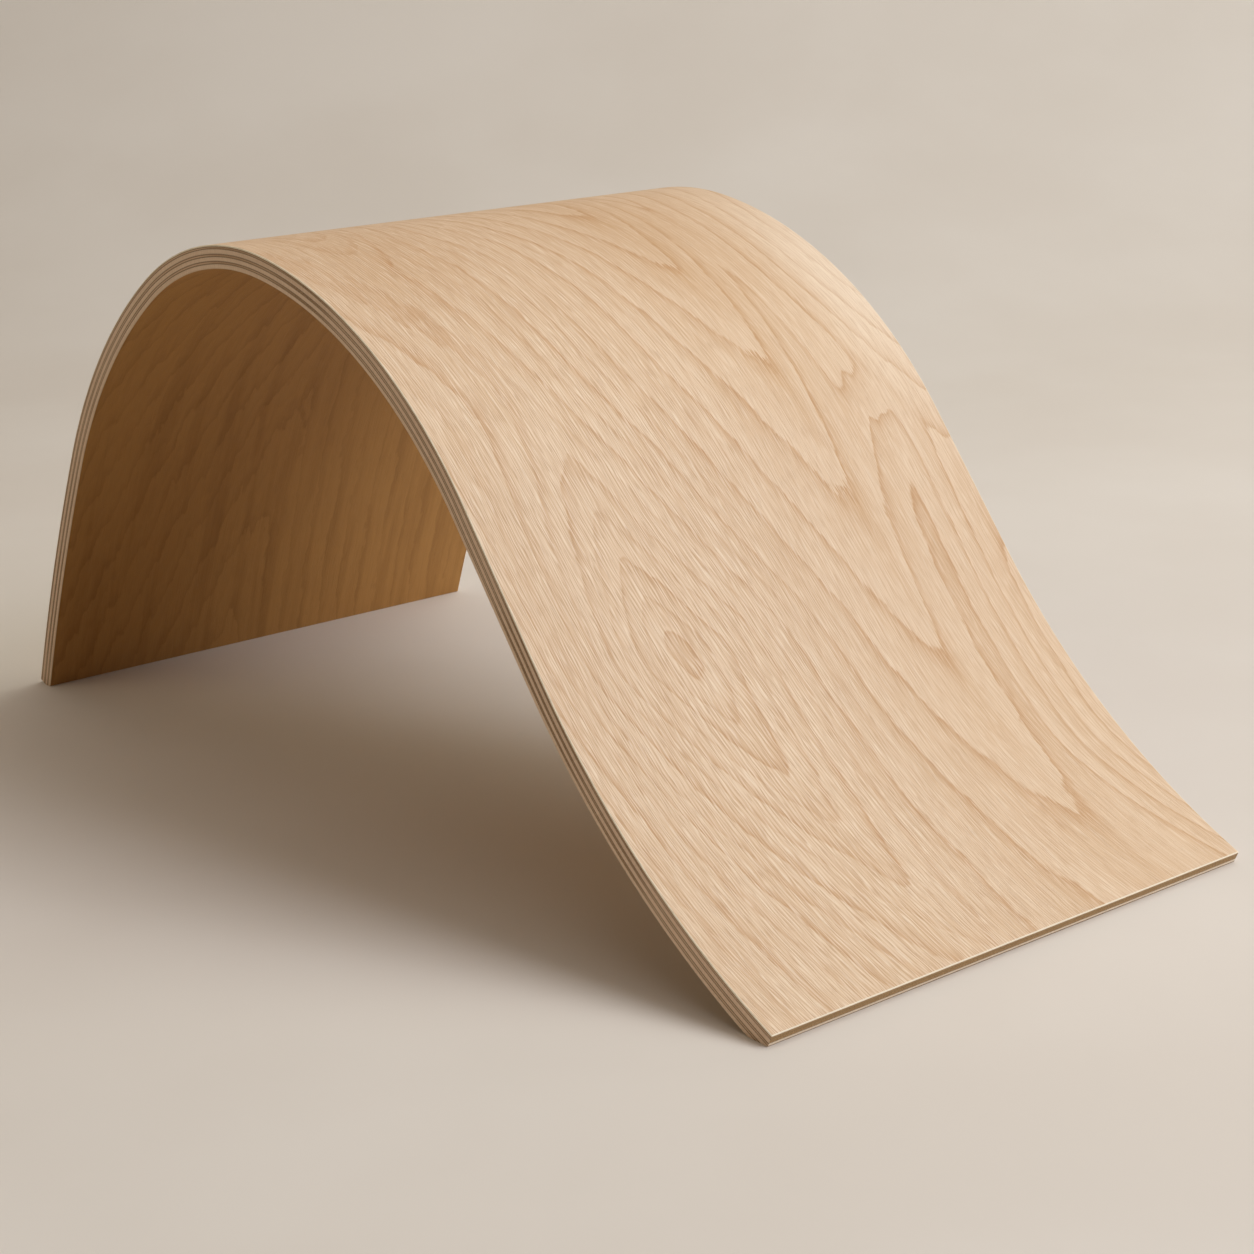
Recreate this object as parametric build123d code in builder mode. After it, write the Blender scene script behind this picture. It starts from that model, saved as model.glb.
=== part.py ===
from build123d import *

import os
from math import cos, radians, sin

# Size of the flat blank that the bent sheet is pressed from, across the bend
sheet_width = 300.0

# Thickness of each ply, from the show face down to the mould face
face_veneer_thickness = 0.8
face_crossband_thickness = 1.3
outer_ply_thickness = 2.4
middle_crossband_thickness = 1.5
centre_ply_thickness = 2.2
back_crossband_thickness = 1.5
back_ply_thickness = 2.3

# Bend of the mould face, from the leg over the crown to the toe: radii in mm, angles in degrees
leg_lean_angle = 69.0
leg_radius = 1250.0
leg_bend_angle = 7.5
haunch_radius = 288.0
haunch_bend_angle = 29.5
crown_radius = 164.0
crown_bend_angle = 40.0
shoulder_radius = 246.0
shoulder_bend_angle = 44.0
sweep_radius = 410.0
sweep_bend_angle = 28.0

# How much of the thickness the level cut takes off each end, so that the sheet stands flat
foot_cut = 5.6

# Plies in the order in which they are laid on the mould, each grain at right angles to the next
layup = [
    ("back_ply", back_ply_thickness),
    ("back_crossband", back_crossband_thickness),
    ("centre_ply", centre_ply_thickness),
    ("middle_crossband", middle_crossband_thickness),
    ("outer_ply", outer_ply_thickness),
    ("face_crossband", face_crossband_thickness),
    ("face_veneer", face_veneer_thickness),
]
sheet_thickness = sum(thickness for name, thickness in layup)

# The rounded bends between the leg's end and the straight slope, all turning downwards
bends = [
    (leg_radius, leg_bend_angle),
    (haunch_radius, haunch_bend_angle),
    (crown_radius, crown_bend_angle),
    (shoulder_radius, shoulder_bend_angle),
]
slope_heading = leg_lean_angle - sum(turn for radius, turn in bends)
toe_heading = slope_heading + sweep_bend_angle


def sine(degrees):
    """Sine of an angle in degrees."""
    return sin(radians(degrees))


def cosine(degrees):
    """Cosine of an angle in degrees."""
    return cos(radians(degrees))


def rise(radius, start, end):
    """Height gained along an arc between two headings; a negative radius curves upwards."""
    return radius * (cosine(end) - cosine(start))


def run(radius, start, end):
    """Distance covered along X by the same arc."""
    return radius * (sine(start) - sine(end))


def bend_total(measure):
    """Sum of rise or run over the bends that come before the slope."""
    total = 0.0
    heading = leg_lean_angle
    for radius, turn in bends:
        total += measure(radius, heading, heading - turn)
        heading -= turn
    return total


# Depth of the mould face's two ends below the floor, before the level cut
leg_drop = foot_cut * cosine(leg_lean_angle)
toe_drop = foot_cut * cosine(toe_heading)

# The straight slope takes up whatever height the bends leave between the crown and the floor
fall_before_slope = bend_total(rise) - leg_drop + toe_drop
slope_fall = fall_before_slope + rise(-sweep_radius, slope_heading, toe_heading)
slope_length = slope_fall / sine(-slope_heading)

# Where the leg's end stands, so that the whole sheet is centred on the origin
mould_span = (
    bend_total(run)
    + slope_length * cosine(slope_heading)
    + run(-sweep_radius, slope_heading, toe_heading)
)
leg_overhang = sheet_thickness * sine(leg_lean_angle)
toe_overhang = sheet_thickness * sine(-toe_heading)
leg_x = (leg_overhang - mould_span - toe_overhang) / 2

# Side view of the sheet, with its own origin at the leg's end of the mould face
side_view = Plane(origin=(leg_x, 0, -leg_drop), x_dir=(1, 0, 0), z_dir=(0, -1, 0))


def layer_line(height):
    """Draw the face that lies at a height above the mould face, and give its two ends."""
    first = tip = Vector(-height * sine(leg_lean_angle), height * cosine(leg_lean_angle))
    heading = Vector(cosine(leg_lean_angle), sine(leg_lean_angle))
    for radius, turn in bends:
        bend = JernArc(tip, heading, radius + height, -turn)
        tip = bend @ 1
        heading = bend % 1
    slope = Line(tip, tip + heading * slope_length)
    sweep = JernArc(slope @ 1, slope % 1, sweep_radius - height, sweep_bend_angle)
    return first, sweep @ 1


def make_ply(name, low, high):
    """Make one ply of the bend between two heights above the mould face, and write it."""
    with BuildPart() as ply:
        with BuildSketch(side_view):
            with BuildLine():
                low_first, low_last = layer_line(low)
                high_first, high_last = layer_line(high)
                Line(low_first, high_first)
                Line(low_last, high_last)
            make_face()
        extrude(amount=sheet_width / 2, both=True)
        split(bisect_by=Plane.XY, keep=Keep.TOP)
    ply.part.label = name
    export_step(ply.part, f"parts/{name}.step")


os.makedirs("parts", exist_ok=True)

pile_height = 0.0
for name, thickness in layup:
    make_ply(name, pile_height, pile_height + thickness)
    pile_height += thickness
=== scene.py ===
from math import cos, pi, radians, sin

import bpy
import numpy as np
from mathutils import Matrix, Vector


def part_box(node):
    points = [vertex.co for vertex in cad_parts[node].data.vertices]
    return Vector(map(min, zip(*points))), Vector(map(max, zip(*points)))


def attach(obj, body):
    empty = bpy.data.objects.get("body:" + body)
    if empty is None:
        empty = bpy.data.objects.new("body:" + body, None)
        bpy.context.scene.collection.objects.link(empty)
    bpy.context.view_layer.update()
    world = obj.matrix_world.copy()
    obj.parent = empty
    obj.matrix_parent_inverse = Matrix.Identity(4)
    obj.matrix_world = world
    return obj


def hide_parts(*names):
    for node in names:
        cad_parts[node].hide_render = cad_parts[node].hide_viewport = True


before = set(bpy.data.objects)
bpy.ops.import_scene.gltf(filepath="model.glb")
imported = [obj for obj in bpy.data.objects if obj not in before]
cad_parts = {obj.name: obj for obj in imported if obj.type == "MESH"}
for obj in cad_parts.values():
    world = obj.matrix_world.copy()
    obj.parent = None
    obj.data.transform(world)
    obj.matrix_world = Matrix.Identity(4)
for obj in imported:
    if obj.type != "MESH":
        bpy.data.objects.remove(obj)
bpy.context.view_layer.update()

MM = 0.001
BODY = "root"

# Plies from the mould face up, with their thickness in millimetres, as the frame holds them
plies = [
    ("back_ply", 2.3),
    ("back_crossband", 1.5),
    ("centre_ply", 2.2),
    ("middle_crossband", 1.5),
    ("outer_ply", 2.4),
    ("face_crossband", 1.3),
    ("face_veneer", 0.8),
]
sheet_thickness = sum(thickness for name, thickness in plies) * MM
sheet_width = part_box("face_veneer")[1].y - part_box("face_veneer")[0].y

# Bend of the mould face from the leg to the toe: radius in metres, turn in degrees
leg_lean = radians(69.0)
bends = [(1.250, -7.5), (0.288, -29.5), (0.164, -40.0), (0.246, -44.0)]
sweep_radius = 0.410
sweep_turn = 28.0
foot_cut = 5.6 * MM

# Easing of the corners: the arrises of both faces, and the faint notch at each glue line
arris = 0.50 * MM
notch = 0.05 * MM

# Mesh spacing along and across the bend, and across the plies that no face shows
step_along = 4.0 * MM
step_across = 2.0 * MM
step_hidden = 25.0 * MM

# How far the glue lines waver on the sides of the sheet, the lengths of their waves, how far
# these slant across the sheet, and what their sum is divided by
waver_height = 0.10 * MM
waver_lengths = (0.31, 0.17, 0.083, 0.041, 0.023)
waver_slant = 0.8
waver_sum = 1.6

# Camera, as the photograph was taken
camera_place = Vector((1.04285, -0.78088, 0.46894))
camera_yaw = radians(51.735)
camera_pitch = radians(16.799)
camera_roll = radians(1.4915)
camera_lens = 73.07
sensor_width = 36.0


def stretches_of_bend():
    """Length and curvature of each stretch; the straight slope's length follows from the heights."""
    slope_heading = leg_lean + sum(radians(turn) for radius, turn in bends)
    toe_heading = slope_heading + radians(sweep_turn)
    climb = 0.0
    heading = leg_lean
    for radius, turn in bends:
        climb += radius * (cos(heading + radians(turn)) - cos(heading))
        heading += radians(turn)
    climb -= sweep_radius * (cos(toe_heading) - cos(slope_heading))
    climb += foot_cut * (cos(toe_heading) - cos(leg_lean))
    slope_length = climb / sin(-slope_heading)
    rows = [(radius * radians(-turn), -1 / radius) for radius, turn in bends]
    rows.append((slope_length, 0.0))
    rows.append((sweep_radius * radians(sweep_turn), 1 / sweep_radius))
    return rows


def walk(place, heading, along, curvature):
    """Go along an arc or a straight from a place and heading, and give the new place and heading."""
    half = curvature * along / 2
    chord = along * np.sinc(half / pi)
    x = place[0] + chord * np.cos(heading + half)
    z = place[1] + chord * np.sin(heading + half)
    return x, z, heading + 2 * half


stretches = stretches_of_bend()
sheet_length = sum(length for length, curvature in stretches)


def mould_point(along):
    """Place and heading on the mould face at each distance from the leg's end."""
    along = np.asarray(along, float)
    x, z, heading = (np.zeros_like(along) for i in range(3))
    start = (0.0, -foot_cut * cos(leg_lean), leg_lean)
    passed = 0.0
    for length, curvature in stretches:
        here = (along >= passed) | (passed == 0.0)
        found = walk(start[:2], start[2], along - passed, curvature)
        x, z, heading = (np.where(here, new, old) for new, old in zip(found, (x, z, heading)))
        start = walk(start[:2], start[2], length, curvature)
        passed += length
    return x, z, heading


mould_span = float(mould_point([sheet_length])[0][0])
toe_heading = float(mould_point([sheet_length])[2][0])
leg_x = (sheet_thickness * (sin(leg_lean) - sin(-toe_heading)) - mould_span) / 2


def bent(along, across, height):
    """Place in the frame of points given on the flat sheet, and the heading there."""
    x, z, heading = mould_point(along)
    x = x + leg_x - height * np.sin(heading)
    z = z + height * np.cos(heading)
    return np.stack([x, across, z], axis=-1), heading


def level_ends(height):
    """Where each layer starts and ends along the sheet, once the level cut has taken its ends."""
    first = np.zeros_like(height)
    last = np.full_like(height, sheet_length)
    rounds = 4
    for repeat in range(rounds):
        point, heading = bent(first, first, height)
        first = np.maximum(first - point[:, 2] / np.sin(heading), 0.0)
        point, heading = bent(last, last, height)
        last = np.minimum(last - point[:, 2] / np.sin(heading), sheet_length)
    return first, last


def waver(along, across, layer):
    """Small ups and downs of a glue line, the same for the two plies that meet there."""
    if layer in (0, len(plies)):
        return np.zeros_like(along)
    chance = np.random.default_rng(100 + layer)
    total = np.zeros_like(along)
    for wavelength in waver_lengths:
        phase = chance.uniform(0, 2 * pi)
        slant = chance.uniform(-waver_slant, waver_slant)
        strength = chance.uniform(0.5, 1.0) * (wavelength / max(waver_lengths)) ** 0.45
        total += strength * np.sin(2 * pi * (along + slant * across) / wavelength + phase)
    return total * waver_height / waver_sum


def lines(length, spacing, easings):
    """Places of the mesh lines over a length: close together where its ends are eased, even between."""
    near = {0.0}
    for easing in easings:
        near |= {easing * (1 - np.tan(pi / 8)), easing}
    widest = max(easings)
    count = max(1, round((length - 2 * widest) / spacing))
    even = np.linspace(widest, length - widest, count + 1)
    return np.array(sorted({*near, *(length - place for place in near), *even[1:-1]}))


def quads(numbers):
    """Faces between the neighbouring vertices of a grid of vertex numbers."""
    corners = [numbers[:-1, :-1], numbers[1:, :-1], numbers[1:, 1:], numbers[:-1, 1:]]
    return np.stack(corners, axis=-1).reshape(-1, 4)


def block_skin(shape):
    """Grid places and outward faces of the skin of a block with so many lines each way."""
    places = np.indices(shape).reshape(3, -1).T
    on_skin = ((places == 0) | (places == np.array(shape) - 1)).any(axis=1)
    number = np.full(len(places), -1)
    number[on_skin] = np.arange(on_skin.sum())
    number = number.reshape(shape)
    faces = [
        quads(number[:, :, -1]),
        quads(number[:, :, 0])[:, ::-1],
        quads(number[:, 0, :]),
        quads(number[:, -1, :])[:, ::-1],
        quads(number[-1, :, :]),
        quads(number[0, :, :])[:, ::-1],
    ]
    return places[on_skin], np.concatenate(faces)


def eased(points, size, easing):
    """Round the corners of a block's skin, and give each point's outward direction."""
    easing = easing[:, None]
    core = np.clip(points, easing, size - easing)
    out = points - core
    out /= np.linalg.norm(out, axis=1, keepdims=True)
    return core + out * easing, out


def build_ply(index):
    """Mesh of one ply: a flat slab with eased corners, bent over the mould and cut level at its ends."""
    name, thickness = plies[index]
    thickness *= MM
    low = sum(below for other, below in plies[:index]) * MM
    top_easing = arris if index == len(plies) - 1 else notch
    low_easing = arris if index == 0 else notch
    shown = index in (0, len(plies) - 1)
    easings = sorted({top_easing, low_easing})
    size = np.array([sheet_length, sheet_width, thickness])
    along = lines(size[0], step_along, easings)
    across = lines(size[1], step_across if shown else step_hidden, easings)
    upward = {*lines(thickness, thickness, [low_easing])[:3]}
    upward |= {*lines(thickness, thickness, [top_easing])[-3:]}
    if low < foot_cut < low + thickness:
        upward.add(foot_cut - low)
    upward = np.array(sorted(upward))
    places, faces = block_skin((len(along), len(across), len(upward)))
    points = np.stack([along[places[:, 0]], across[places[:, 1]], upward[places[:, 2]]], axis=-1)
    easing = np.where(points[:, 2] > thickness / 2, top_easing, low_easing)
    flat, out = eased(points, size, easing)
    share = flat[:, 2] / thickness
    across = flat[:, 1] - sheet_width / 2
    low_waver = waver(flat[:, 0], across, index)
    top_waver = waver(flat[:, 0], across, index + 1)
    height = low + flat[:, 2] + low_waver + share * (top_waver - low_waver)
    first, last = level_ends(height)
    along = first + flat[:, 0] * (last - first) / sheet_length
    spots, heading = bent(along, across, height)
    spots[:, 2] = np.maximum(spots[:, 2], 0.0)

    mesh = bpy.data.meshes.new(name + "_look")
    mesh.from_pydata(spots.tolist(), [], faces.tolist())
    drift = grain_drift(along / MM, across / MM) * MM
    store(mesh, "grain", np.stack([along, across - drift, height], axis=-1))
    store(mesh, "facing", out)
    store(mesh, "share", share)
    if shown:
        store(mesh, "growth", growth_rings(along / MM, across / MM, index))
        store(mesh, "warmth", warm_patches(along / MM, across / MM))
        store(mesh, "tips", arch_tips(along / MM, across / MM))
    set_normals(mesh, spots, heading, out)
    return mesh


def store(mesh, name, values):
    """Keep one value or vector for each vertex, which the materials read."""
    kind, key = ("FLOAT_VECTOR", "vector") if values.ndim > 1 else ("FLOAT", "value")
    attribute = mesh.attributes.new(name, kind, "POINT")
    attribute.data.foreach_set(key, values.astype(np.float32).ravel())


def set_normals(mesh, spots, heading, out):
    """Give the mesh the bend's own smooth normals, and the level cut flat ones."""
    x = out[:, 0] * np.cos(heading) - out[:, 2] * np.sin(heading)
    z = out[:, 0] * np.sin(heading) + out[:, 2] * np.cos(heading)
    normals = np.stack([x, out[:, 1], z], axis=-1)
    corner_vertex = np.zeros(len(mesh.loops), np.int32)
    mesh.loops.foreach_get("vertex_index", corner_vertex)
    by_corner = normals[corner_vertex]
    touching = 1e-7
    on_floor = (spots[corner_vertex, 2] < touching).reshape(-1, 4).all(axis=1)
    by_corner[np.repeat(on_floor, 4)] = (0.0, 0.0, -1.0)
    mesh.shade_smooth()
    mesh.normals_split_custom_set(by_corner.tolist())


def cone(offset, blunt):
    """Distance that is rounded off near nothing."""
    return np.sqrt(offset**2 + blunt**2) - blunt


def beyond(value, softness):
    """How far a value is above nought, turning smoothly there."""
    return np.logaddexp(0, value / softness) * softness


def highest(sharpness, *levels):
    """Smooth greatest of several surfaces."""
    return np.logaddexp.reduce([level * sharpness for level in levels]) / sharpness


def lowest(sharpness, *levels):
    """Smooth least of several surfaces."""
    return -highest(sharpness, *(-level for level in levels))


def ease(value, start, end):
    """Smooth step from nought at start to one at end."""
    share = np.clip((value - start) / (end - start), 0, 1)
    return share * share * (3 - 2 * share)


# Marks of the show face's figure: (along, across) places in millimetres from the leg's end and
# the middle line of the sheet, or one of the two
valley_start = (428, 46)
valley_slant = 0.092
valley_level_start = 433
crest_start = (460, -99)
loop_middle = 708
near_knoll = (350, -107)
far_knoll = (490, 185)
spur_side = 77.5
saddle_middle = 600
flank_tip = (634, 111)
brim_side = 91
plateau_side = 104


def valley(along):
    """Line down the face along which the rings form pointed arches, and the ring count there."""
    reach = along - valley_level_start
    level = -10 + reach / (62 + 0.05 * beyond(reach, 20))
    return valley_start[1] + valley_slant * (along - valley_start[0]), level


def near_rings(along, across):
    """Ring count from the near edge to the valley: closed loops on the slope, a knoll on the crown."""
    crest_at = crest_start[1] + 0.10 * (along - crest_start[0])
    crest_at += 0.19 * beyond(along - 700, 15) - 0.42 * beyond(565 - along, 15)
    before = along < loop_middle
    reach = cone(along - loop_middle, 10)
    fall = np.where(before, reach / (31 + 0.145 * reach), reach / (45 + 0.13 * reach))
    deepest = np.full_like(fall, 2.62)
    crest = 0.15 - np.where(before, lowest(8, fall, deepest), fall)
    off = across - crest_at
    outer_slope = beyond(-off - 63, 2) / (16 + 0.13 * beyond(along - 740, 20))
    edge_side = crest + (-4 - crest) * np.minimum(cone(off, 6) / 61, 1) - outer_slope
    valley_at, floor = valley(along)
    width = valley_at - crest_at
    share = np.clip(off / width, 0, 1)
    blunted = (cone(off, 6) * (1 - share) + (width - cone(width - off, 22)) * share) / width
    inner_side = crest + (floor - crest) * blunted ** (1 + 0.8 * ease(along, 580, 440))
    knoll = -0.6 - np.hypot((along - near_knoll[0]) / 48, (across - near_knoll[1]) / 12)
    return highest(6, np.where(off < 0, edge_side, inner_side), knoll)


def far_rings(along, across):
    """Ring count from the valley to the far edge: a knoll, a narrow spur and a plateau that interlock."""
    valley_at, floor = valley(along)
    slope = floor + cone(across - valley_at, 5) / (11 + 0.035 * beyond(along - 600, 20))
    stretch = np.where(along < far_knoll[0], 2.6, 1.82)
    knoll = -4 - (np.hypot((along - far_knoll[0]) / stretch, across - far_knoll[1]) - 46) / 13
    spur = -7 + (along - 460) * 0.009 - cone(across - spur_side, 1.5) / 9
    saddle = -7.2 - cone(along - saddle_middle, 20) / 90
    zigzag = 4 * np.sin(across / 2.8) + 1.5 * np.sin(across / 1.3 + 1)
    flank = -5 - (flank_tip[0] + zigzag + cone(across - flank_tip[1], 3) - along) / 24
    bow = np.where(along < 800, 0.03, 0.45) * cone(along - 800, 30)
    brim = -5 + (across - brim_side - 0.28 * beyond(700 - along, 12)) / 16
    plateau = -4.6 - beyond(across - plateau_side - bow, 3) / 11
    return lowest(4, slope, highest(4, knoll, spur, saddle, lowest(4, flank, plateau, brim)))


def back_rings(along, across):
    """Ring count of the back ply: wide pointed arches that run towards the crown."""
    reach = along - 106
    valley_at = -16 + 28 * np.sin(reach / 210)
    off = across - valley_at
    return reach / 80 + np.where(off < 0, cone(off, 14) / 17, cone(off, 8) / 14)


def growth_rings(along, across, index):
    """Ring count at each point of the two plies whose faces show; places in millimetres."""
    if index == 0:
        return back_rings(along, across)
    valley_at, floor = valley(along)
    near = near_rings(along, np.minimum(across, valley_at))
    far = far_rings(along, np.maximum(across, valley_at))
    return np.where(across < valley_at, near, far)


def grain_drift(along, across):
    """How far the fibres have wandered across the sheet at each point, in millimetres."""
    whole = 0.07 * beyond(along - 530, 30)
    bend = 21 * (1 + np.tanh((along - 660) / 70)) / 2 * np.exp(-(((across + 25) / 55) ** 2))
    corner = 0.12 * beyond(along - 810, 20) * ease(across, 20, 90)
    return whole + bend + corner


def warm_patches(along, across):
    """How much warmer the face is than elsewhere, or paler where this is below nought."""

    def patch(place, reach):
        return np.exp(-(((along - place[0]) / reach[0]) ** 2) - ((across - place[1]) / reach[1]) ** 2)

    warm = patch((450, -100), (70, 45))
    middle = patch((470, 65), (70, 40))
    pale = patch((510, 145), (90, 30))
    return warm + 0.8 * middle - pale


def arch_tips(along, across):
    """How near a place is to the line of pointed arches, where the rings are boldest."""
    valley_at, level = valley(along)
    near = np.exp(-(((across - valley_at) / 15) ** 2))
    return near * ease(along, 330, 400) * ease(along, 720, 640)


class Nodes:
    """Short words for building a material's nodes."""

    def __init__(self, name):
        self.material = bpy.data.materials.new(name)
        self.material.use_nodes = True
        self.tree = self.material.node_tree
        self.shader = self.tree.nodes["Principled BSDF"]
        self.shader.inputs["Specular IOR Level"].default_value = 0.3

    def add(self, kind, inputs=(), **settings):
        """New node with its settings and inputs."""
        node = self.tree.nodes.new("ShaderNode" + kind)
        for key, value in settings.items():
            setattr(node, key, value)
        for key, value in dict(inputs).items():
            self.feed(node.inputs[key], value)
        return node

    def feed(self, socket, value):
        """Link an output to a socket, or set the socket's own number or colour."""
        if isinstance(value, bpy.types.NodeSocket):
            self.tree.links.new(value, socket)
        else:
            socket.default_value = value

    def attribute(self, name, output="Vector"):
        """Value that the mesh keeps for each point."""
        return self.add("Attribute", attribute_name=name).outputs[output]

    def parts(self, vector):
        """The three numbers of a vector."""
        return self.add("SeparateXYZ", {0: vector}).outputs

    def math(self, operation, *values):
        """Result of a sum on numbers."""
        return self.add("Math", enumerate(values), operation=operation).outputs[0]

    def stretch(self, vector, scale):
        """Vector with each of its parts multiplied."""
        return self.add("VectorMath", {0: vector, 1: scale}, operation="MULTIPLY").outputs[0]

    def noise(self, place, grain, detail=2.0):
        """Smooth noise with so many changes in each unit of the place."""
        inputs = {"Vector": self.stretch(place, grain), "Scale": 1.0, "Detail": detail}
        return self.add("TexNoise", inputs).outputs["Fac"]

    def between(self, value, low, high, to_low=0.0, to_high=1.0, kind="SMOOTHSTEP"):
        """Value that goes from to_low to to_high while another goes from low to high."""
        inputs = {"Value": value, "From Min": low, "From Max": high, "To Min": to_low, "To Max": to_high}
        return self.add("MapRange", inputs, interpolation_type=kind).outputs["Result"]

    def mix(self, share, first, second):
        """Colour between two others."""
        node = self.add("Mix", data_type="RGBA")
        for place, value in ((0, share), (6, first), (7, second)):
            self.feed(node.inputs[place], value)
        return node.outputs[2]

    def shade(self, colour, roughness, height, distance):
        """Give the shader its colour, roughness and bump."""
        self.feed(self.shader.inputs["Base Color"], colour)
        self.feed(self.shader.inputs["Roughness"], roughness)
        bump = self.add("Bump", {"Height": height, "Distance": distance, "Strength": 1.0})
        self.feed(self.shader.inputs["Normal"], bump.outputs[0])


# Changes of each noise in a metre along the fibres, across them and through the sheet
coarse_wander = (25, 110, 0)
fine_wander = (110, 250, 0)
ragged_wander = (160, 1200, 0)
narrow_streaks = (9, 260, 0)
broad_streaks = (4, 75, 0)
line_patches = (7, 30, 0)
fibre_sway = (38, 70, 0)
fibre_dashes = (38, 2000, 0)
pore_dashes = (105, 2200, 0)
ridge_sway = (45, 420, 0)
ridge_strength = (90, 600, 0)
edge_streaks = (30, 30, 5500)
saw_marks = (1100, 1100, 260)
open_pores = (1700, 1700, 3000)
core_patches = (11, 11, 0)
fuzz = (400, 2500, 2500)
floor_mottle = (3, 3, 3)

# The face's figure changes from its near-side look to its far-side look between these lines
near_side = -50 * MM
far_side = 20 * MM

# Where the fibres get fainter across the sheet, and clearer from the crown to the slope
fainter_zone = (-60 * MM, 80 * MM)
clearer_zone = (380 * MM, 620 * MM)
clearer_share = (0.8, 1.1)

# Where the painted shade that darkens the leg and the crown fades away down the slope
painted_crown_shade_zone = (400 * MM, 580 * MM)

# Even ridges of the fibres: their spacing half way across the sheet, how it grows, and their sway
ridge_spacing = 1.8 * MM
ridge_widening = -0.98
ridge_bending = 14.0

# How strongly the pores, the pale fibres painted as highlights, and the painted shade and painted
# highlight on the two sides of the ridges colour the face
pore_share = 0.65
fibre_highlight_share = 0.35
ridge_painted_shade = 0.42
ridge_painted_highlight = 0.75

# How much bolder the rings are at the tips of the arches, and how ragged they are
tip_boldness = 1.4
tip_raggedness = 0.20
raggedness = (0.05, 0.10)

# How strongly the warm and the pale patches colour the face
warm_share = 0.45
pale_share = 0.6


def rgb(red, green, blue):
    """Scene colour of a display colour."""
    parts = [part / 255 for part in (red, green, blue)]
    linear = [part / 12.92 if part <= 0.04045 else ((part + 0.055) / 1.055) ** 2.4 for part in parts]
    return (*linear, 1.0)


def ring_lines(n, turn, softness):
    """A line at each whole ring: sharp on its older side, fading out on the other."""
    soft = n.math("POWER", n.between(turn, 0.0, 0.5, 1.0, 0.0, "LINEAR"), 1 / softness)
    return n.math("MAXIMUM", soft, n.between(turn, 1 - 0.2 * softness, 1.0))


def ring_fade(n, turn):
    """Tan that starts at each ring's line and fades away before the next."""
    fading = n.math("POWER", n.between(turn, 0.0, 0.9, 1.0, 0.0, "LINEAR"), 1.2)
    return n.math("MAXIMUM", fading, n.between(turn, 0.93, 1.0))


def wander(n, rings, grain, changes, amount):
    """Ring count, moved up and down a little from place to place."""
    change = n.math("SUBTRACT", n.noise(grain, changes), 0.5)
    return n.math("MULTIPLY_ADD", change, amount, rings)


def near_to_far(n, grain, pair):
    """A number that changes from its near-side value to its far-side one."""
    return n.between(n.parts(grain)[1], near_side, far_side, *pair)


def fine_fibres(n, grain):
    """Dark pores, and pale fibres between them that are painted as highlights, both as fine dashes that
    sway a little.
    """
    sway = n.math("MULTIPLY", n.noise(grain, fibre_sway), 2.0 * MM)
    aside = n.add("CombineXYZ", {"Y": sway}).outputs[0]
    moved = n.add("VectorMath", {0: grain, 1: aside}, operation="ADD").outputs[0]
    fibres = n.noise(moved, fibre_dashes, detail=0.0)
    pores = n.noise(moved, pore_dashes, detail=0.0)
    dark = n.math("MAXIMUM", n.between(fibres, 0.52, 0.70, 0.0, 0.8), n.between(pores, 0.60, 0.72))
    return dark, n.between(fibres, 0.46, 0.30)


def even_ridges(n, grain):
    """Fine even ridges along the fibres, wider apart towards the far side, that come and go."""
    across = n.parts(grain)[1]
    wider = n.math("MULTIPLY_ADD", n.math("MULTIPLY", across, across), ridge_widening, across)
    sway = n.math("MULTIPLY", n.noise(grain, ridge_sway, detail=1.0), ridge_bending)
    phase = n.math("MULTIPLY_ADD", wider, 2 * pi / ridge_spacing, sway)
    strength = n.between(n.noise(grain, ridge_strength, detail=0.0), 0.35, 0.65, 0.3, 1.0)
    return n.math("MULTIPLY", n.math("SINE", phase), strength)


def uneven_rings(n, grain, look, tips):
    """Ring count with small irregularities, and a noise whose layers follow the rings."""
    along = n.parts(grain)[0]
    rings = wander(n, n.attribute("growth", "Fac"), grain, coarse_wander, 0.30 * look["wander"])
    rings = wander(n, rings, grain, fine_wander, 0.14 * look["wander"])
    layers = n.noise(n.add("CombineXYZ", {"X": rings, "Y": along}).outputs[0], (9.0, 16.0, 0))
    ragged = n.math("MULTIPLY_ADD", tips, tip_raggedness, near_to_far(n, grain, raggedness))
    return wander(n, rings, grain, ragged_wander, ragged), layers


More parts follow.
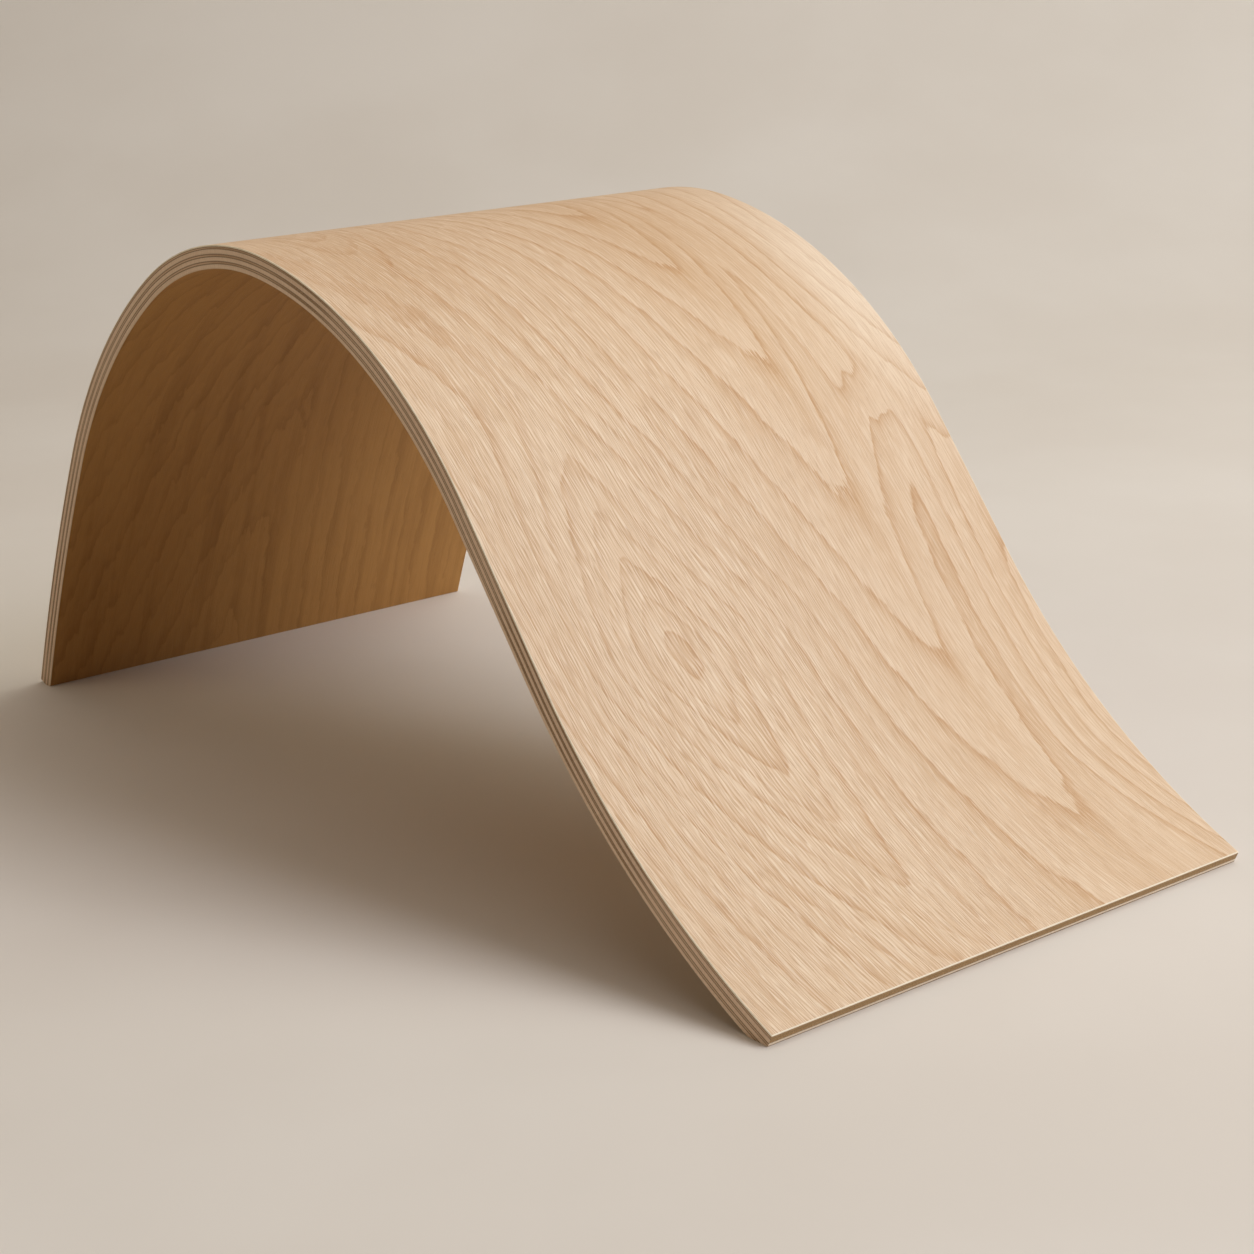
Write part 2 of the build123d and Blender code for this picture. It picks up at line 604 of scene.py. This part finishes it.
def ring_tones(n, grain, look):
    """Colour of the growth rings: tan that fades from each line, streaks, patches and the lines."""
    tips = n.attribute("tips", "Fac")
    warmth = n.attribute("warmth", "Fac")
    rings, layers = uneven_rings(n, grain, look, tips)
    turn = n.math("FRACT", rings)
    half_turn = n.math("FRACT", n.math("ADD", rings, 0.5))
    bold = n.math("MULTIPLY_ADD", tips, tip_boldness, 1.0)
    bold = n.math("MULTIPLY", near_to_far(n, grain, look["fades"]), bold)
    fade = n.math("MULTIPLY", ring_fade(n, turn), bold)
    streaks = n.noise(grain, narrow_streaks), n.noise(grain, broad_streaks), layers
    for streak, amount in zip(streaks, look["streaks"]):
        fade = n.math("MULTIPLY_ADD", n.between(streak, 0.3, 0.7, -0.5, 0.5), amount, fade)
    colour = n.mix(fade, look["pale"], look["tan"])
    colour = n.mix(n.between(warmth, 0.0, 1.0, 0.0, warm_share, "LINEAR"), colour, look["tan"])
    colour = n.mix(n.between(warmth, 0.0, -1.0, 0.0, pale_share, "LINEAR"), colour, look["pale_and_highlight"])
    patchy = n.between(n.noise(grain, line_patches), 0.3, 0.7, 0.55, 1.0)
    patchy = n.math("MULTIPLY", patchy, n.between(warmth, -1.0, 0.0, 0.4, 1.0, "LINEAR"))
    for part, key in ((turn, "lines"), (half_turn, "halves")):
        line = n.math("MULTIPLY", ring_lines(n, part, look["softness"]), patchy)
        colour = n.mix(n.math("MULTIPLY", line, near_to_far(n, grain, look[key])), colour, look["ring"])
    return colour


def figured_wood(n, grain, look):
    """Colour of a rotary-cut face with its rings and fibres, with painted shade on the leg and crown and
    painted highlight and shade on the fibres and ridges, and the depth of the pores in it.
    """
    along, across = n.parts(grain)[:2]
    colour = ring_tones(n, grain, look)
    # Painted shade: the leg and crown are mixed towards the darker pore tone, fading out down the slope
    colour = n.mix(n.between(along, *painted_crown_shade_zone, look["painted_crown_shade"], 0.0), colour, look["pore_and_shade"])
    pores, fibres = fine_fibres(n, grain)
    fineness = n.between(across, *fainter_zone, *look["fineness"])
    fineness = n.math("MULTIPLY", fineness, n.between(along, *clearer_zone, *clearer_share))
    # The pale fibres are painted highlights beside the pores
    for part, share, tone in ((pores, pore_share, "pore_and_shade"), (fibres, fibre_highlight_share, "pale_and_highlight")):
        strength = n.math("MULTIPLY", part, n.math("MULTIPLY", fineness, share))
        colour = n.mix(strength, colour, look[tone])
    # Painted shade and painted highlight on the two sides of each fine ridge, in place of shading from
    # bumps
    ridges = n.math("MULTIPLY", even_ridges(n, grain), fineness)
    colour = n.mix(n.between(ridges, 0.0, 1.0, 0.0, ridge_painted_shade, "LINEAR"), colour, look["pore_and_shade"])
    colour = n.mix(n.between(ridges, 0.0, -1.0, 0.0, ridge_painted_highlight, "LINEAR"), colour, look["pale_and_highlight"])
    return colour, pores


def long_fibres(n, grain, light, dark):
    """Fibres seen along their length on a sawn edge: fine streaks and faint saw marks."""
    streak = n.noise(grain, edge_streaks, detail=3.0)
    saw = n.noise(grain, saw_marks)
    share = n.math("MULTIPLY_ADD", n.between(saw, 0.3, 0.7), 0.4, n.between(streak, 0.3, 0.7, 0.0, 0.6))
    return n.mix(share, light, dark)


def cut_fibres(n, grain, light, dark):
    """Fibres cut across: a dark speckle of open pores."""
    speckle = n.noise(grain, open_pores)
    return n.mix(n.between(speckle, 0.35, 0.65), light, dark)


def lighter_core(n, grain, colour, to_glue, tone):
    """Pale middle of a thin ply, which comes and goes along the sheet."""
    comes = n.between(n.noise(grain, core_patches, detail=1.0), 0.38, 0.58)
    middle = n.between(to_glue, 0.12, 0.30, 1.0, 0.0)
    return n.mix(n.math("MULTIPLY", n.math("MULTIPLY", comes, middle), 0.85), colour, tone)


def ply_material(name, sides, ends, look=None):
    """Wood of one kind of ply: its face, where it shows, its sides and its ends."""
    n = Nodes(name)
    grain = n.attribute("grain")
    facing = [n.math("ABSOLUTE", part) for part in n.parts(n.attribute("facing"))]
    to_glue = n.math("ABSOLUTE", n.math("SUBTRACT", n.attribute("share", "Fac"), 0.5))
    side_look = sides[0](n, grain, *sides[1])
    end_look = ends[0](n, grain, *ends[1])
    if sides[0] is cut_fibres:
        side_look = lighter_core(n, grain, side_look, to_glue, pale_wood[1])
    colour, pores = figured_wood(n, grain, look) if look else (end_look, 0.0)
    colour = n.mix(n.between(facing[1], 0.3, 0.7), colour, side_look)
    colour = n.mix(n.between(facing[0], 0.3, 0.7), colour, end_look)
    glue = n.math("MULTIPLY", n.between(to_glue, 0.38, 0.5), n.between(facing[2], 0.1, 0.4, 0.8, 0.0))
    colour = n.mix(glue, colour, glue_tone)
    # Painted highlight along the eased arrises: on the face partly the paler sanded edge of the veneer,
    # on the back painted highlight alone
    if look:
        off_side = n.between(facing[2], 0.1, 0.3)
        off_face = n.between(facing[2], 0.92, 1.0, 1.0, 0.0)
        colour = n.mix(n.math("MULTIPLY", off_side, off_face), colour, look["arris"])
    fine = n.noise(grain, fuzz)
    relief = n.math("SUBTRACT", n.math("MULTIPLY", fine, 0.35), pores)
    n.shade(colour, n.between(fine, 0.2, 0.8, 0.50, 0.64), relief, 0.06 * MM)
    return n.material


cream_wood = rgb(252, 238, 214), rgb(242, 220, 190)
pale_wood = rgb(245, 218, 192), rgb(226, 194, 164)
brown_wood = rgb(182, 146, 110), rgb(144, 110, 78)
end_brown = rgb(186, 152, 104), rgb(150, 116, 74)
glue_tone = rgb(104, 76, 52)

face_look = {
    "pale": rgb(227, 196, 161),
    "tan": rgb(204, 162, 116),
    "ring": rgb(188, 134, 78),
    # Tone of the pores, also used for the painted shade on the crown and on the dark sides of the ridges
    "pore_and_shade": rgb(178, 132, 90),
    # Pale tone of the paler patches, also used for the painted highlights on the fibres and ridges
    "pale_and_highlight": rgb(250, 230, 204),
    # Painted highlight on the face's eased arrises, partly the paler sanded edge of the veneer
    "arris": rgb(255, 240, 212),
    "softness": 0.22,
    "wander": 0.85,
    "fades": (0.14, 0.32),
    "lines": (0.66, 0.64),
    "halves": (0.42, 0.08),
    "streaks": (0.0, 0.26, 0.06),
    "fineness": (0.56, 0.28),
    "painted_crown_shade": 0.20,
}
# The back's colours are darker and more orange than the face's: partly the back veneer's own tone, partly
# painted shade and warm bounce light of the underside
back_look_with_painted_shade = {
    "pale": rgb(185, 136, 74),
    "tan": rgb(150, 104, 50),
    "ring": rgb(132, 86, 38),
    "pore_and_shade": rgb(126, 82, 38),
    "pale_and_highlight": rgb(190, 144, 82),
    # Painted highlight on the back's eased arrises
    "arris": rgb(226, 200, 168),
    "softness": 0.5,
    "wander": 3.0,
    "fades": (0.18, 0.18),
    "lines": (0.30, 0.24),
    "halves": (0.12, 0.10),
    "streaks": (0.18, 0.60, 0.10),
    "fineness": (0.16, 0.16),
    "painted_crown_shade": 0.0,
}

cut_cream = (cut_fibres, cream_wood)
long_cream = (long_fibres, cream_wood)
cut_brown = (cut_fibres, brown_wood)
cut_end = (cut_fibres, end_brown)
long_brown = (long_fibres, end_brown)
long_pale = (long_fibres, pale_wood)

show_face = ply_material("face_veneer_wood", long_cream, cut_cream, face_look)
back_face = ply_material("back_ply_wood", long_pale, cut_end, back_look_with_painted_shade)
long_grain = ply_material("long_grain_wood", long_pale, cut_end)
crossband = ply_material("crossband_wood", cut_brown, long_cream)
thin_crossband = ply_material("thin_crossband_wood", cut_brown, long_brown)

wood_of = {
    "face_veneer": (show_face, "face_veneer"),
    "face_crossband": (thin_crossband, "crossband"),
    "outer_ply": (long_grain, "long_grain_ply"),
    "middle_crossband": (crossband, "crossband"),
    "centre_ply": (long_grain, "long_grain_ply"),
    "back_crossband": (crossband, "crossband"),
    "back_ply": (back_face, "back_ply"),
}

for index, (name, thickness) in enumerate(plies):
    piece = bpy.data.objects.new(name + "_look", build_ply(index))
    bpy.context.scene.collection.objects.link(piece)
    material, slot = wood_of[name]
    piece.data.materials.append(material)
    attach(piece, BODY)
    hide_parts(name)


def make_studio():
    """Pale floor that curves up into a wall behind the sheet."""
    floor_back = -3.0
    cove_start = 2.3
    cove_radius = 1.2
    cove_steps = 24
    wall_top = 5.0
    half_width = 6.0
    away = Vector((-sin(camera_yaw), cos(camera_yaw), 0))
    side = Vector((cos(camera_yaw), sin(camera_yaw), 0))
    start = Vector((camera_place.x, camera_place.y, 0))
    profile = [(floor_back, 0.0)]
    for step in range(cove_steps + 1):
        angle = pi / 2 * step / cove_steps
        profile.append((cove_start + cove_radius * sin(angle), cove_radius * (1 - cos(angle))))
    profile.append((cove_start + cove_radius, wall_top))
    spots, faces = [], []
    for ahead, up in profile:
        for way in (-half_width, half_width):
            spots.append(start + away * ahead + side * way + Vector((0, 0, up)))
    for i in range(len(profile) - 1):
        faces.append((2 * i, 2 * i + 1, 2 * i + 3, 2 * i + 2))
    mesh = bpy.data.meshes.new("studio_floor")
    mesh.from_pydata(spots, [], faces)
    mesh.shade_smooth()
    floor = bpy.data.objects.new("studio_floor", mesh)
    bpy.context.scene.collection.objects.link(floor)
    n = Nodes("studio_floor")
    place = n.add("NewGeometry").outputs["Position"]
    mottle = n.noise(place, floor_mottle, detail=4.0)
    colour = n.mix(n.between(mottle, 0.3, 0.7), rgb(226, 217, 206), rgb(221, 211, 199))
    n.shade(colour, 0.8, mottle, 0.2 * MM)
    n.shader.inputs["Specular IOR Level"].default_value = 0.2
    mesh.materials.append(n.material)


def make_light(name, place, size, power, colour):
    """Soft square lamp that looks at the sheet."""
    data = bpy.data.lights.new(name, "AREA")
    data.size = size
    data.energy = power
    data.color = colour
    lamp = bpy.data.objects.new(name, data)
    lamp.location = place
    lamp.rotation_euler = (Vector((0, 0, 0.1)) - Vector(place)).to_track_quat("-Z", "Y").to_euler()
    bpy.context.scene.collection.objects.link(lamp)


def make_world(strength, colour):
    """Even light from all round."""
    world = bpy.data.worlds.new("studio_air")
    bpy.context.scene.world = world
    world.use_nodes = True
    air = world.node_tree.nodes["Background"]
    air.inputs["Color"].default_value = (*colour, 1.0)
    air.inputs["Strength"].default_value = strength


def make_camera():
    """Camera at the photograph's place, with its level line turned a little."""
    level = Vector((-sin(camera_yaw), cos(camera_yaw), 0))
    ahead = cos(camera_pitch) * level - sin(camera_pitch) * Vector((0, 0, 1))
    right = Vector((cos(camera_yaw), sin(camera_yaw), 0))
    down = ahead.cross(right)
    right, down = (
        cos(camera_roll) * right + sin(camera_roll) * down,
        cos(camera_roll) * down - sin(camera_roll) * right,
    )
    data = bpy.data.cameras.new("camera")
    data.lens = camera_lens
    data.sensor_width = sensor_width
    camera = bpy.data.objects.new("camera", data)
    turned = Matrix((right, -down, -ahead)).transposed().to_4x4()
    camera.matrix_world = Matrix.Translation(camera_place) @ turned
    bpy.context.scene.collection.objects.link(camera)
    bpy.context.scene.camera = camera


make_studio()
make_light("back", (1.0, 1.6, 2.6), 2.4, 41, (0.94, 1.0, 0.94))
make_light("right", (2.4, 1.2, 1.8), 1.6, 54, (0.83, 0.86, 1.0))
make_light("top", (0.2, 0.3, 3.0), 3.0, 29, (1.0, 0.91, 0.86))
make_light("left", (-0.8, -2.6, 1.8), 2.5, 13.6, (1.0, 0.86, 0.58))
make_world(0.02, (1.0, 0.97, 0.93))
make_camera()
bpy.context.scene.view_settings.view_transform = "Standard"
